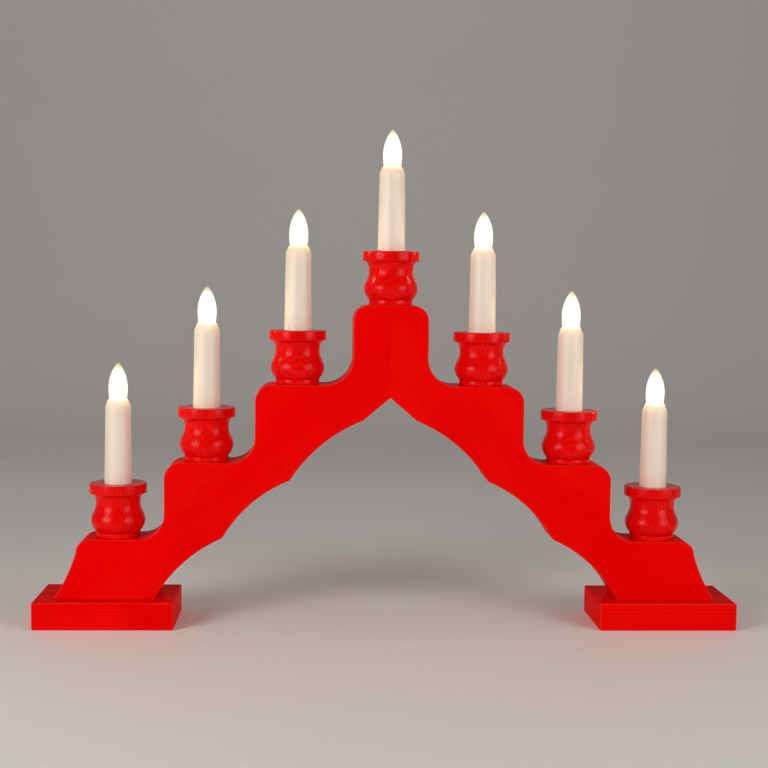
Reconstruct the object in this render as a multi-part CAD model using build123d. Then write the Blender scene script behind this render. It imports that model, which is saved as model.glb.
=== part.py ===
from build123d import *
from math import asin, atan2, cos, hypot, radians, sin, tan
import os

# Whole object: millimetres, X to the right, Y to the back, Z up, origin under the middle of the feet
cut_overrun = 1.0
glue_gap = 0.05

# Feet: two blocks that lie across the ends of the arch
foot_length = 81.2
foot_depth = 48.4
foot_height = 16.2
foot_edge_radius = 1.0
foot_toe_margin = 10.9

# Candle places, from the middle outwards, and the ledges that carry them, from the lowest up
inner_candle_out = 54.3
middle_candle_step = 53.1
outer_candle_step = 51.7
outer_ledge_height = 50.9
middle_ledge_rise = 45.3
inner_ledge_rise = 45.8
top_ledge_rise = 46.7

# Arch boards: two planks that meet in a mitre at the middle
board_thickness = 28.0
board_edge_radius = 0.8
top_wall_share = 0.403
step_wall_share = 0.455
ledge_end_reach = 22.7
top_corner_radius = 9.0
step_corner_radius = 9.5
top_hollow_radius = 16.5
step_hollow_radius = 15.0
end_corner_radius = 7.5
leg_neck_drop = 7.6
leg_flare_depth = 1.2
toe_reach = 35.5
heel_reach = 22.7

# Scalloped underside, from the mitre down to the heel, with drops below the ledge above
apex_drop = 53.7
first_cusp_out = 15.7
first_cusp_drop = 67.1
second_cusp_reach = 3.8
second_cusp_drop = 55.8
third_cusp_reach = 10.2
third_cusp_drop = 44.2
scallop_depth = 4.4
low_scallop_depth = 4.4
cusp_radius = 2.5

# Mitre dowels
dowel_radius = 3.0
dowel_length = 30.0
low_dowel_rise = 12.0
high_dowel_drop = 16.0
high_dowel_forward = 8.5

# Foot screws: countersunk wood screws from below
screw_length = 36.0
screw_radius = 2.0
screw_head_radius = 4.0
screw_point_length = 4.0
screw_inset = 0.6
screw_clearance = 0.2
screw_recess_length = 4.6
screw_recess_width = 1.1
screw_recess_depth = 1.5
inner_screw_share = 0.17
outer_screw_share = 0.675

# Turned wooden cups
cup_height = 31.5
cup_rim_radius = 16.75
cup_rim_height = 5.8
cup_rim_bevel = 0.7
cup_rim_step = 1.5
cup_neck_radius = 12.95
cup_neck_height = 19.0
cup_belly_radius = 15.8
cup_belly_height = 9.5
cup_ring_radius = 12.9
cup_ring_height = 2.9
cup_ring_crease = 0.4
cup_belly_lean_share = 1.0
cup_rim_lean_share = 0.6
cup_spigot_radius = 6.0
cup_spigot_length = 8.0
cup_seat_depth = 12.0

# Candle sleeves: moulded tubes that end in a lampholder
sleeve_foot_radius = 8.0
sleeve_shoulder_radius = 7.4
sleeve_shoulder_height = 45.4
sleeve_mouth_radius = 5.7
sleeve_cone_height = 3.7
sleeve_wall = 1.3
mouth_bore_radius = 5.3
mouth_bore_depth = 3.5
web_thickness = 1.6
web_drop = 13.5

# Lampholder contacts
shell_bore_radius = 4.8
shell_wall = 0.3
shell_tab_width = 2.4
shell_tab_drop = 4.0
contact_head_radius = 2.2
contact_head_height = 1.2
contact_stem_radius = 1.1
contact_pad_width = 4.4
contact_tail_drop = 6.0
contact_gap = 0.3

# Screw lamps with a small cap
thread_clearance = 0.1
cap_top_drop = 1.5
cap_length = 8.0
cap_wall = 0.3
cap_cone_height = 1.0
tip_base_radius = 3.0
tip_base_height = 1.4
tip_radius = 1.6
tip_clearance = 0.05
glass_wall = 0.6
glass_skirt_length = 2.0
glass_waist_radius = 4.95
glass_belly_radius = 5.5
glass_belly_height = 7.0
glass_point_radius = 1.1
point_share = 0.7
glass_height = 21.4
filament_wire_radius = 0.25
filament_half_width = 1.7
filament_height = 9.0
filament_bend_share = 0.9
lead_gap = 0.3

# Wiring at the back: drilled holes, a milled groove and single wires
wire_radius = 0.9
wire_hole_radius = 3.0
wire_hole_depth = 27.0
outer_cross_drop = 15.5
groove_width = 6.0
groove_depth = 4.5
groove_cover = 10.0
wire_lift = 0.5
wire_side_step = 1.0
wire_low_step = 1.2
link_offset = 1.0
return_offset = 1.8
terminal_forward = 0.7
return_backward = 1.3
hole_bend_radius = 5.0
mouth_bend_radius = 2.2
peak_bend_radius = 3.0
wire_slant_start = 8.0
wire_slant_length = 16.0
free_bend_share = 0.45
inlet_radius = 3.0
inlet_depth = 9.5
inlet_rise = 7.7
core_hole_radius = 2.4

# Wire staples
staple_wire_radius = 0.5
staple_crown_margin = 1.0
staple_leg_length = 6.0
staple_corner_radius = 0.8

# Places worked out from the sizes above
back_face = board_thickness / 2
middle_candle_out = inner_candle_out + middle_candle_step
outer_candle_out = middle_candle_out + outer_candle_step
middle_ledge_height = outer_ledge_height + middle_ledge_rise
inner_ledge_height = middle_ledge_height + inner_ledge_rise
top_ledge_height = inner_ledge_height + top_ledge_rise
candle_outs = [0.0, inner_candle_out, middle_candle_out, outer_candle_out]
ledge_heights = [top_ledge_height, inner_ledge_height, middle_ledge_height, outer_ledge_height]
corner_radii = [top_corner_radius, step_corner_radius, step_corner_radius]
hollow_radii = [top_hollow_radius, step_hollow_radius, step_hollow_radius]
wall_shares = [top_wall_share, step_wall_share, step_wall_share]
wall_outs = [
    candle_outs[i] + share * (candle_outs[i + 1] - candle_outs[i]) for i, share in enumerate(wall_shares)
]
leg_end_out = outer_candle_out + ledge_end_reach
leg_neck_height = outer_ledge_height - leg_neck_drop
apex_height = top_ledge_height - apex_drop
toe_out = outer_candle_out + toe_reach
heel_out = outer_candle_out - heel_reach
foot_middle_out = toe_out + foot_toe_margin - foot_length / 2

rim_to_ledge = cup_height
mouth_over_rim = sleeve_shoulder_height + sleeve_cone_height
cap_radius = shell_bore_radius - thread_clearance
shell_radius = shell_bore_radius + shell_wall
tip_length = web_drop - contact_head_height - contact_gap - cap_top_drop - cap_length

cross_drops = [wire_hole_depth, wire_hole_depth, wire_hole_depth, outer_cross_drop]
cross_heights = [ledge - drop for ledge, drop in zip(ledge_heights, cross_drops)]
inlet_height = foot_height + inlet_rise
hole_floors = [ledge - wire_hole_depth for ledge in ledge_heights[:-1]] + [inlet_height]
groove_floor = back_face - groove_depth
wire_back = groove_floor + wire_lift + wire_radius
candle_places = [-out for out in reversed(candle_outs[1:])] + candle_outs
candle_ledges = ledge_heights[:0:-1] + ledge_heights
candle_crosses = cross_heights[:0:-1] + cross_heights

STAND = (Align.CENTER, Align.CENTER, Align.MIN)
QUARTER_TURN = 90
HALF_TURN = 180


def rod_up(radius, bottom, top, x=0.0, y=0.0):
    """A round rod or drilled hole that stands along Z."""
    return Pos(x, y, bottom) * Cylinder(radius, top - bottom, align=STAND)


def rod_back(radius, front, back, x, z):
    """A round rod or drilled hole that runs along Y."""
    return Pos(x, front, z) * Rot(-QUARTER_TURN, 0, 0) * Cylinder(radius, back - front, align=STAND)


def turned(*lines):
    """A solid turned about Z from a closed outline of radius and height."""
    return revolve(make_face(Plane.XZ * Curve(children=lines)), axis=Axis.Z)


def scallop(start, end, depth):
    """An arc that hollows the board between two points of the underside."""
    run_out = end[0] - start[0]
    run_up = end[1] - start[1]
    chord = hypot(run_out, run_up)
    middle_out = (start[0] + end[0]) / 2 - depth * run_up / chord
    middle_up = (start[1] + end[1]) / 2 + depth * run_out / chord
    return ThreePointArc(start, (middle_out, middle_up), end)


def free_radii(points, held):
    """The radius of each corner of a route, within its runs; held gives the corners that a hole keeps tight."""
    radii = []
    for i in range(1, len(points) - 1):
        before = Vector(*points[i - 1]) - Vector(*points[i])
        after = Vector(*points[i + 1]) - Vector(*points[i])
        half_turn = radians(HALF_TURN - before.get_angle(after)) / 2
        free = free_bend_share * min(before.length, after.length) / tan(half_turn)
        radii.append(min(held.get(i, free), free))
    return radii


def groove_points():
    """The middle line of the groove, from the middle candle out to the last one."""
    points = [(candle_outs[0], cross_heights[0])]
    for i, wall in enumerate(wall_outs):
        inset = hollow_radii[i] * (1 - cos(radians(QUARTER_TURN / 2)))
        points.append((wall + inset, ledge_heights[i + 1] + inset - groove_cover))
        points.append((candle_outs[i + 1], cross_heights[i + 1]))
    return points


def board_outline():
    """The right half of the arch, seen from the front."""
    apex = (0, apex_height)
    first = (first_cusp_out, top_ledge_height - first_cusp_drop)
    second = (inner_candle_out + second_cusp_reach, inner_ledge_height - second_cusp_drop)
    third = (middle_candle_out - third_cusp_reach, middle_ledge_height - third_cusp_drop)
    heel = (heel_out, foot_height)
    toe = (toe_out, foot_height)
    neck = (leg_end_out, leg_neck_height)
    steps = [neck, (leg_end_out, outer_ledge_height)]
    for i in (2, 1, 0):
        steps += [(wall_outs[i], ledge_heights[i + 1]), (wall_outs[i], ledge_heights[i])]
    steps += [(0, top_ledge_height), apex]
    outline = make_face(
        [
            Line(apex, first),
            scallop(first, second, scallop_depth),
            scallop(second, third, scallop_depth),
            scallop(third, heel, low_scallop_depth),
            Line(heel, toe),
            scallop(neck, toe, -leg_flare_depth),
            Polyline(*steps),
        ]
    )
    rounds = [((leg_end_out, outer_ledge_height), end_corner_radius)]
    rounds += [(cusp, cusp_radius) for cusp in (first, second, third)]
    for i, wall in enumerate(wall_outs):
        rounds.append(((wall, ledge_heights[i]), corner_radii[i]))
        rounds.append(((wall, ledge_heights[i + 1]), hollow_radii[i]))
    for place, radius in rounds:
        outline = fillet(outline.vertices().sort_by_distance(Vector(*place))[0], radius)
    return outline


def staple_places():
    """Where each staple of the right half bridges the groove, and the way its crown runs."""
    points = groove_points()
    places = []
    for start, end in zip(points, points[1:]):
        slope = atan2(end[1] - start[1], end[0] - start[0])
        places.append(((start[0] + end[0]) / 2, (start[1] + end[1]) / 2, -sin(slope), cos(slope)))
    return places


def staple_ends(place):
    """The two legs of a staple, as places on the back of the board."""
    x, z, across, up = place
    reach = groove_width / 2 + staple_crown_margin
    return [(x - reach * across, z - reach * up), (x + reach * across, z + reach * up)]


def groove_cut():
    """The milled groove of the right half."""
    points = groove_points()
    path = FilletPolyline(*points, radius=free_radii(points, {}))
    track = trace(path, groove_width)
    for end in (points[0], points[-1]):
        track += Pos(*end) * Circle(groove_width / 2)
    mouth = Plane.XZ.offset(-(back_face + cut_overrun))
    return extrude(mouth * track, groove_depth + cut_overrun)


def screw_outs():
    """How far out the two screws of a foot stand."""
    return [heel_out + share * (toe_out - heel_out) for share in (inner_screw_share, outer_screw_share)]


def dowel_places():
    """Depth and height of each mitre dowel."""
    return [
        (0.0, apex_height + low_dowel_rise),
        (-high_dowel_forward, top_ledge_height - high_dowel_drop),
    ]


def arch_half(with_inlet):
    """The right board with its holes, sockets and groove."""
    board = extrude(Plane.XZ * board_outline(), back_face, both=True)
    rims = board.edges().filter_by(lambda e: abs(abs(e.center().Y) - back_face) < glue_gap)
    rims = rims.filter_by(lambda e: e.center().X > glue_gap and e.center().Z > foot_height + glue_gap)
    board = fillet(rims, board_edge_radius)
    for out, ledge, floor, cross in zip(candle_outs, ledge_heights, hole_floors, cross_heights):
        board -= rod_up(wire_hole_radius, floor - wire_hole_radius, ledge + cut_overrun, out)
        socket_floor = ledge - cup_spigot_length - glue_gap
        board -= rod_up(cup_spigot_radius + glue_gap, socket_floor, ledge + cut_overrun, out)
        board -= rod_back(wire_hole_radius, -wire_hole_radius, back_face + cut_overrun, out, cross)
    board -= groove_cut()
    for place in staple_places():
        for x, z in staple_ends(place):
            board -= rod_back(staple_wire_radius, back_face - staple_leg_length, back_face + cut_overrun, x, z)
    for y, z in dowel_places():
        board -= Pos(0, y, z) * Rot(0, QUARTER_TURN, 0) * Cylinder(dowel_radius, dowel_length)
    for out in screw_outs():
        board -= rod_up(screw_radius, foot_height - cut_overrun, screw_inset + screw_length, out)
    if with_inlet:
        inlet_front = back_face - inlet_depth
        board -= rod_back(inlet_radius, inlet_front, back_face + cut_overrun, outer_candle_out, inlet_height)
        board -= rod_back(core_hole_radius, 0.0, inlet_front + cut_overrun, outer_candle_out, inlet_height)
    return board


def foot():
    """The right foot, drilled and countersunk from below."""
    block = Box(foot_length, foot_depth, foot_height, align=STAND)
    block = Pos(foot_middle_out, 0, 0) * fillet(block.edges(), foot_edge_radius)
    hole = screw_radius + screw_clearance
    sink = screw_head_radius + screw_clearance
    for out in screw_outs():
        block -= rod_up(hole, -cut_overrun, foot_height + cut_overrun, out)
        block -= rod_up(sink, -cut_overrun, screw_inset, out)
        block -= Pos(out, 0, screw_inset) * Cone(sink, hole, sink - hole, align=STAND)
    return block


def foot_screw():
    """A countersunk wood screw that points up, with a cross recess."""
    neck = screw_inset + screw_head_radius - screw_radius
    point = screw_inset + screw_length
    screw = turned(
        Polyline(
            (0, screw_inset),
            (screw_head_radius, screw_inset),
            (screw_radius, neck),
            (screw_radius, point - screw_point_length),
            (0, point),
            (0, screw_inset),
        )
    )
    recess = Box(screw_recess_length, screw_recess_width, screw_recess_depth, align=STAND)
    recess += Box(screw_recess_width, screw_recess_length, screw_recess_depth, align=STAND)
    return screw - Pos(0, 0, screw_inset) * recess


def mitre_dowels():
    """Two wooden dowels across the mitre."""
    return [
        Pos(0, y, z) * Rot(0, QUARTER_TURN, 0) * Cylinder(dowel_radius, dowel_length) for y, z in dowel_places()
    ]


def cup():
    """A turned cup whose foot ring stands at height zero."""
    rim_base = cup_height - cup_rim_height
    bore = sleeve_foot_radius + glue_gap
    profile = Spline(
        (cup_ring_radius - cup_ring_crease, cup_ring_height),
        (cup_belly_radius, cup_belly_height),
        (cup_neck_radius, cup_neck_height),
        (cup_rim_radius - cup_rim_step, rim_base),
        tangents=[(1, cup_belly_lean_share), (1, cup_rim_lean_share)],
    )
    return turned(
        Polyline(
            (cup_rim_radius - cup_rim_step, rim_base),
            (cup_rim_radius, rim_base),
            (cup_rim_radius, cup_height - cup_rim_bevel),
            (cup_rim_radius - cup_rim_bevel, cup_height),
            (bore, cup_height),
            (bore, cup_height - cup_seat_depth),
            (wire_hole_radius, cup_height - cup_seat_depth),
            (wire_hole_radius, -cup_spigot_length),
            (cup_spigot_radius, -cup_spigot_length),
            (cup_spigot_radius, 0),
            (cup_ring_radius, 0),
            (cup_ring_radius, cup_ring_height),
            (cup_ring_radius - cup_ring_crease, cup_ring_height),
        ),
        profile,
    )


def candle_sleeve():
    """A sleeve whose mouth lies at height zero."""
    rim = -mouth_over_rim
    shoulder = -sleeve_cone_height
    web_top = -web_drop
    web_bottom = web_top - web_thickness
    sleeve = turned(
        Polyline(
            (mouth_bore_radius, 0),
            (sleeve_mouth_radius, 0),
            (sleeve_shoulder_radius, shoulder),
            (sleeve_foot_radius, rim),
            (sleeve_foot_radius, rim - cup_seat_depth),
            (sleeve_foot_radius - sleeve_wall, rim - cup_seat_depth),
            (sleeve_foot_radius - sleeve_wall, rim),
            (sleeve_shoulder_radius - sleeve_wall, web_bottom),
            (contact_stem_radius, web_bottom),
            (contact_stem_radius, web_top),
            (shell_radius, web_top),
            (shell_radius, -mouth_bore_depth),
            (mouth_bore_radius, -mouth_bore_depth),
            (mouth_bore_radius, 0),
        )
    )
    slot_width = shell_wall + 2 * glue_gap
    slot = Box(slot_width, shell_tab_width + 2 * glue_gap, web_thickness + 2 * glue_gap, align=STAND)
    return sleeve - Pos(-shell_radius + shell_wall / 2, 0, web_bottom - glue_gap) * slot


def lamp_shell():
    """The threaded brass shell with its solder tab, below a mouth at height zero."""
    shell = rod_up(shell_radius, -web_drop, -mouth_bore_depth) - rod_up(
        shell_bore_radius, -web_drop - cut_overrun, -mouth_bore_depth + cut_overrun
    )
    tab_length = web_thickness + shell_tab_drop
    tab = Box(shell_wall, shell_tab_width, tab_length + shell_wall, align=STAND)
    tab = Pos(-shell_radius + shell_wall / 2, 0, -web_drop - tab_length) * tab
    return shell + (tab & rod_up(shell_radius, -web_drop - tab_length, -web_drop + shell_wall))


def centre_contact():
    """The riveted centre contact with its solder tail, below a mouth at height zero."""
    contact = rod_up(contact_head_radius, -web_drop, -web_drop + contact_head_height)
    contact += rod_up(contact_stem_radius, -web_drop - web_thickness - glue_gap, -web_drop)
    tail = Box(2 * contact_stem_radius, shell_wall, contact_tail_drop, align=STAND)
    tail_place = Pos(wire_side_step, 0, -web_drop - web_thickness - contact_tail_drop)
    pad = Box(contact_pad_width, contact_pad_width, shell_wall, align=STAND)
    return contact + tail_place * tail + Pos(0, 0, -web_drop - web_thickness - shell_wall) * pad


def bulb_cap():
    """The lamp's screw cap: an open brass shell with a coned floor."""
    top = -cap_top_drop
    floor = top - cap_length
    hole = tip_base_radius + tip_clearance
    return turned(
        Polyline(
            (cap_radius, top),
            (cap_radius, floor),
            (hole, floor - cap_cone_height),
            (hole, floor - cap_cone_height + cap_wall),
            (cap_radius - cap_wall, floor + cap_wall),
            (cap_radius - cap_wall, top),
            (cap_radius, top),
        )
    )


def bulb_tip():
    """The contact button in its insulating bead."""
    floor = -cap_top_drop - cap_length
    bead_top = floor - cap_cone_height + tip_base_height
    bead_bottom = floor - cap_cone_height - glue_gap
    button = rod_up(tip_radius, floor - tip_length, bead_bottom)
    return rod_up(tip_base_radius, bead_bottom, bead_top) + button


def glass_profile(inset):
    """The bulb's outline from its skirt to its tip, drawn in by the inset."""
    skirt = cap_radius - cap_wall - glue_gap - inset
    belly = (glass_belly_radius - inset, glass_belly_height)
    waist = (glass_waist_radius - inset, 0)
    waist_curve = (hypot(belly[0] - waist[0], belly[1]) ** 2) / (2 * (belly[0] - waist[0]))
    point = glass_point_radius - inset * point_share
    rise = glass_height - inset - point - glass_belly_height
    flame_curve = (rise**2 + belly[0] ** 2 - point**2) / (2 * (belly[0] - point))
    lean = asin(rise / (flame_curve - point))
    point_edge = (point * cos(lean), glass_height - inset - point + point * sin(lean))
    return [
        Line((skirt, -cap_top_drop - glass_skirt_length), (skirt, -cap_top_drop)),
        Line((skirt, -cap_top_drop), waist),
        RadiusArc(waist, belly, -waist_curve),
        RadiusArc(belly, point_edge, -flame_curve),
        RadiusArc(point_edge, (0, glass_height - inset), -point),
    ]


def bulb_glass():
    """The hollow glass, blown to a pointed flame."""
    skirt = cap_radius - cap_wall - glue_gap
    skirt_bottom = -cap_top_drop - glass_skirt_length
    return turned(
        *glass_profile(0),
        *glass_profile(glass_wall),
        Line((skirt, skirt_bottom), (skirt - glass_wall, skirt_bottom)),
        Line((0, glass_height), (0, glass_height - glass_wall)),
    )


def bulb_filament():
    """The filament on its two leads, which the bead in the glass skirt holds apart."""
    bottom = -cap_top_drop - cap_length - cap_cone_height + tip_base_height + lead_gap
    bead_bottom = -cap_top_drop - glass_skirt_length
    bead_radius = cap_radius - cap_wall - glass_wall - 2 * glue_gap
    path = FilletPolyline(
        (-filament_half_width, 0, bottom),
        (-filament_half_width, 0, filament_height),
        (filament_half_width, 0, filament_height),
        (filament_half_width, 0, bottom),
        radius=filament_half_width * filament_bend_share,
    )
    loop = sweep((path ^ 0) * Circle(filament_wire_radius), path=path)
    return loop + rod_up(bead_radius, bead_bottom, -cap_top_drop)


def shifted(points, offset):
    """The groove's middle line moved sideways, up for a positive offset."""
    moved = []
    for i, (x, z) in enumerate(points):
        before = points[max(i - 1, 0)]
        after = points[min(i + 1, len(points) - 1)]
        slope_in = atan2(z - before[1], x - before[0]) if i else atan2(after[1] - z, after[0] - x)
        slope_out = atan2(after[1] - z, after[0] - x) if i < len(points) - 1 else slope_in
        slope = (slope_in + slope_out) / 2
        reach = offset / cos((slope_out - slope_in) / 2)
        moved.append((x - reach * sin(slope), z + reach * cos(slope)))
    return moved


def wire(name, points, held):
    """A wire along straight runs and tangent arcs."""
    radii = free_radii(points, held)
    path = FilletPolyline(*points, radius=radii)
    solid = sweep((path ^ 0) * Circle(wire_radius), path=path)
    print(name, "radii", [round(radius, 1) for radius in radii], "length", round(path.length, 1))
    return solid


def groove_line():
    """The groove's middle line over both halves, left to right."""
    right = groove_points()
    return [(-x, z) for x, z in reversed(right[1:])] + right


def shell_terminal(i):
    """The route from the shell's solder tab down to its candle's cross hole."""
    x = candle_places[i]
    tab_x = x - shell_radius + shell_wall / 2
    tab_end = candle_ledges[i] + rim_to_ledge + mouth_over_rim - web_drop - web_thickness - shell_tab_drop
    return [
        (tab_x, 0, tab_end),
        (tab_x, 0, tab_end - wire_slant_start),
        (x - wire_side_step, -terminal_forward, tab_end - wire_slant_start - wire_slant_length),
    ]


def contact_terminal(i):
    """The end of the centre contact's solder tail."""
    tail_end = candle_ledges[i] + rim_to_ledge + mouth_over_rim - web_drop - web_thickness - contact_tail_drop
    return (candle_places[i] + wire_side_step, -terminal_forward, tail_end)


def link_wire(i):
    """The wire from one candle's centre contact to the next candle's shell."""
    line = shifted(groove_line(), -link_offset)
    out_x = candle_places[i] + wire_side_step
    out_z = candle_crosses[i] - wire_low_step
    in_x = candle_places[i + 1] - wire_side_step
    in_z = candle_crosses[i + 1] - wire_low_step
    bend_x, bend_z = line[2 * i + 1]
    points = [
        contact_terminal(i),
        (out_x, -terminal_forward, out_z),
        (out_x, wire_back, out_z),
        (bend_x, wire_back, bend_z),
        (in_x, wire_back, in_z),
        (in_x, -terminal_forward, in_z),
        *reversed(shell_terminal(i + 1)),
    ]
    held = {1: hole_bend_radius, 2: mouth_bend_radius, 4: mouth_bend_radius, 5: hole_bend_radius}
    return wire("link " + str(i + 1), points, held)


def supply_wire():
    """The wire from the inlet up to the last candle's centre contact."""
    top = contact_terminal(len(candle_places) - 1)
    return rod_up(wire_radius, inlet_height, top[2], top[0], top[1])


def return_wire():
    """The wire from the first candle's shell, through the whole groove, down to the inlet."""
    line = shifted(groove_line(), return_offset)
    last = len(candle_places) - 1
    start_x = candle_places[0] - wire_side_step
    start_z = candle_crosses[0] + wire_low_step
    end_x = candle_places[last] + wire_side_step
    end_z = candle_crosses[last] + wire_low_step
    points = [
        *shell_terminal(0),
        (start_x, -terminal_forward, start_z),
        (start_x, wire_back, start_z),
        *[(x, wire_back, z) for x, z in line[1:-1]],
        (end_x, wire_back, end_z),
        (end_x, return_backward, end_z),
        (end_x, return_backward, inlet_height),
    ]
    end = len(points) - 1
    held = {3: hole_bend_radius, 4: mouth_bend_radius, end - 2: mouth_bend_radius, end - 1: hole_bend_radius}
    held[4 + len(line) // 2] = peak_bend_radius
    return wire("return", points, held)


def wire_staples():
    """The staples that bridge the groove on both halves."""
    crown = back_face + staple_corner_radius
    leg_end = back_face - staple_leg_length
    staples = []
    for place in staple_places():
        (x_low, z_low), (x_high, z_high) = staple_ends(place)
        path = FilletPolyline(
            (x_low, leg_end, z_low),
            (x_low, crown, z_low),
            (x_high, crown, z_high),
            (x_high, leg_end, z_high),
            radius=staple_corner_radius,
        )
        staple = sweep((path ^ 0) * Circle(staple_wire_radius), path=path)
        staples += [staple, mirror(staple, about=Plane.YZ)]
    return staples


def save(name, shape):
    """Write one piece, or a list of like pieces, under its name."""
    if isinstance(shape, list):
        shape = Compound(children=shape)
    export_step(shape, "parts/" + name + ".step")


def main():
    os.makedirs("parts", exist_ok=True)
    right_foot = foot()
    save("arch_right", arch_half(True))
    save("arch_left", mirror(arch_half(False), about=Plane.YZ))
    save("foot_right", right_foot)
    save("foot_left", mirror(right_foot, about=Plane.YZ))
    save("mitre_dowels", mitre_dowels())
    screw = foot_screw()
    save("foot_screws", [Pos(side * out, 0, 0) * screw for side in (-1, 1) for out in screw_outs()])

    makers = {
        "candle_sleeve": candle_sleeve(),
        "lamp_shell": lamp_shell(),
        "bulb_cap": bulb_cap(),
        "bulb_tip": bulb_tip(),
        "bulb_glass": bulb_glass(),
        "bulb_filament": bulb_filament(),
    }
    turned_cup = cup()
    contact = centre_contact()
    contacts = []
    for i, (x, ledge) in enumerate(zip(candle_places, candle_ledges)):
        number = str(i + 1)
        mouth = Pos(x, 0, ledge + rim_to_ledge + mouth_over_rim)
        save("cup_" + number, Pos(x, 0, ledge) * turned_cup)
        for name, piece in makers.items():
            save(name + "_" + number, mouth * piece)
        contacts.append(mouth * contact)
    save("centre_contacts", contacts)

    links = [link_wire(i) for i in range(len(candle_places) - 1)]
    save("link_wires", links + [supply_wire()])
    save("return_wire", return_wire())
    save("wire_staples", wire_staples())


main()
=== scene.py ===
from math import atan2, cos, pi, radians, sin, tau

import bmesh
import bpy
from bpy.props import FloatProperty, FloatVectorProperty, PointerProperty
from mathutils import Matrix, Vector


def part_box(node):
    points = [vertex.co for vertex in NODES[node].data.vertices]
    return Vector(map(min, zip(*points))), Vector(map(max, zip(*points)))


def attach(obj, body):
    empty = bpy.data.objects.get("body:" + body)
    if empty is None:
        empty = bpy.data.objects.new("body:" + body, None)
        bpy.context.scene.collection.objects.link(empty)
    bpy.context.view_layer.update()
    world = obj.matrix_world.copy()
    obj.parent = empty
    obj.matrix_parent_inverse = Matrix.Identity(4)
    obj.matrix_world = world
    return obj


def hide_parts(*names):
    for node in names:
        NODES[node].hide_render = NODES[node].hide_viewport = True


bl_info = {
    "name": "Stepped Candle Arch",
    "version": (1, 0, 0),
    "blender": (4, 5, 0),
    "location": "3D View > Sidebar > Candle Arch",
    "description": "Dresses a stepped wooden candle arch: paint, cups, sleeves, lit lamps and a plain studio",
    "category": "Object",
}

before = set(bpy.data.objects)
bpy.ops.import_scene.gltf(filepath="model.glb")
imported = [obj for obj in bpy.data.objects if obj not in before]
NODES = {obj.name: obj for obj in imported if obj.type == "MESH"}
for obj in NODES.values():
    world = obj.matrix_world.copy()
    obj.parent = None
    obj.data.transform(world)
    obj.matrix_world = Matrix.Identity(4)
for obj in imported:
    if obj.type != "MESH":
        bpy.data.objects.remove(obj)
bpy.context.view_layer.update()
CANDLES = range(1, 8)
MM = 0.001


# Sizes and colours


def size_field(name, description, default):
    """A size in metres, shown on the panel in the scene's units."""
    return FloatProperty(name=name, description=description, unit="LENGTH", default=default)


def colour_field(name, description, default):
    return FloatVectorProperty(name=name, description=description, subtype="COLOR", size=3, default=default)


def number_field(name, description, default):
    """A plain number that is never negative."""
    return FloatProperty(name=name, description=description, default=default, min=0.0)


class PaintProperties(bpy.types.PropertyGroup):
    """The red paint and the wood that shows through it."""

    red: colour_field("Red", "Colour of the paint", (0.76, 0.0006, 0.0006))
    deep_red: colour_field("Deep red", "Paint that lies thick in the grain", (0.52, 0.001, 0.001))
    bright_red: colour_field("Bright red", "Paint that is thin on the ridges", (0.88, 0.006, 0.002))
    # Painted highlight: lighter red laid on the rounded edges, where the lamps catch them.
    edge_highlight_red: colour_field("Edge red", "Paint that is worn thin on the rounded edges", (0.95, 0.03, 0.006))
    grain_slope: FloatProperty(
        name="Grain slope", description="Rise of each board's grain towards the middle", unit="ROTATION",
        default=radians(43),
    )
    ridge_pitch: size_field("Ridge pitch", "Distance between the raised grain lines", 0.0016)
    waviness: size_field("Waviness", "How far the boards' grain wanders", 0.006)
    ridge_height: size_field("Ridge height", "Height of the boards' grain lines", 0.00019)
    foot_waviness: size_field("Foot waviness", "How far the feet's grain wanders", 0.003)
    foot_ridge_height: size_field("Foot ridge height", "Height of the feet's grain lines", 0.00003)
    foot_pitch_share: number_field("Foot pitch share", "The feet's ridge pitch, of the boards' pitch", 1.3)
    foot_grain_turn: FloatProperty(
        name="Foot grain turn", description="Turn of the feet's grain about their length", unit="ROTATION",
        default=radians(8),
    )
    ring_pitch: size_field("Ring pitch", "Distance between the year rings of the turned cups", 0.0017)


class CupProperties(bpy.types.PropertyGroup):
    """The turned cups."""

    rim_height: size_field("Rim height", "Height of the rim", 0.0058)
    rim_step: size_field("Rim step", "How far the rim stands out over the neck", 0.0015)
    neck_radius: size_field("Neck", "Radius of the neck", 0.01295)
    neck_height: size_field("Neck height", "Height of the neck over the ledge", 0.019)
    belly_height: size_field("Belly height", "Height of the belly over the ledge", 0.0095)
    belly_radius: size_field("Belly", "Radius of the belly", 0.0158)
    ring_radius: size_field("Foot ring", "Radius of the foot ring", 0.0129)
    ring_height: size_field("Foot ring height", "Height of the foot ring", 0.0029)
    spigot_radius: size_field("Spigot", "Radius of the spigot", 0.006)
    spigot_length: size_field("Spigot length", "Length of the spigot", 0.008)
    bore: size_field("Wire bore", "Radius of the wire bore", 0.003)
    seat_radius: size_field("Seat", "Radius of the sleeve's seat", 0.00805)
    seat_depth: size_field("Seat depth", "Depth of the sleeve's seat", 0.012)
    crease: size_field("Crease", "How far the belly starts inside the foot ring", 0.0004)
    foot_rounding: size_field("Foot rounding", "Radius of the foot's edges", 0.0005)
    rim_rounding: size_field("Rim rounding", "Radius of the rim's edges", 0.0007)
    heart_height: size_field("Heart height", "Height of the year rings' middle over the ledge", 0.0082)


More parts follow.
